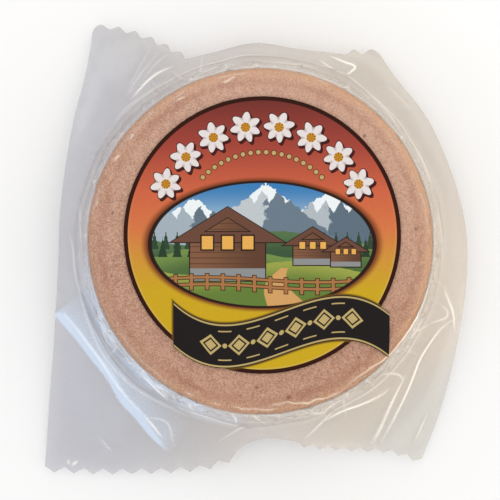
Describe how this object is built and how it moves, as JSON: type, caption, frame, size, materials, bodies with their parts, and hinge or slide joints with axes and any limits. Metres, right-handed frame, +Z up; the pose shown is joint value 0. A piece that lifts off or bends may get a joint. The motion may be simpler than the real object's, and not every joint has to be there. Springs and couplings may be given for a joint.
{
  "type": "vacuum-packed half wheel of cheese",
  "caption": "Half wheel of washed-rind cheese, cut flat, sealed in a clear vacuum pouch with zigzag-cut ends, a round label with a ribbon on its face.",
  "frame": {"origin": "on the wheel's axis, in the plane of its cut face, which the pack rests on", "axes": "+Z up, along the wheel's axis and out of its rind face; +Y towards the upper end of the label, along the length of the pouch"},
  "size_m": [0.1451, 0.1554, 0.0404],
  "materials": {
    "film": "clear glossy film",
    "rind": "pinkish tan washed rind",
    "label_paper": "printed, satin"
  },
  "bodies": {
    "root": {"pouch": "film", "label": "label_paper"}
  },
  "joints": []
}
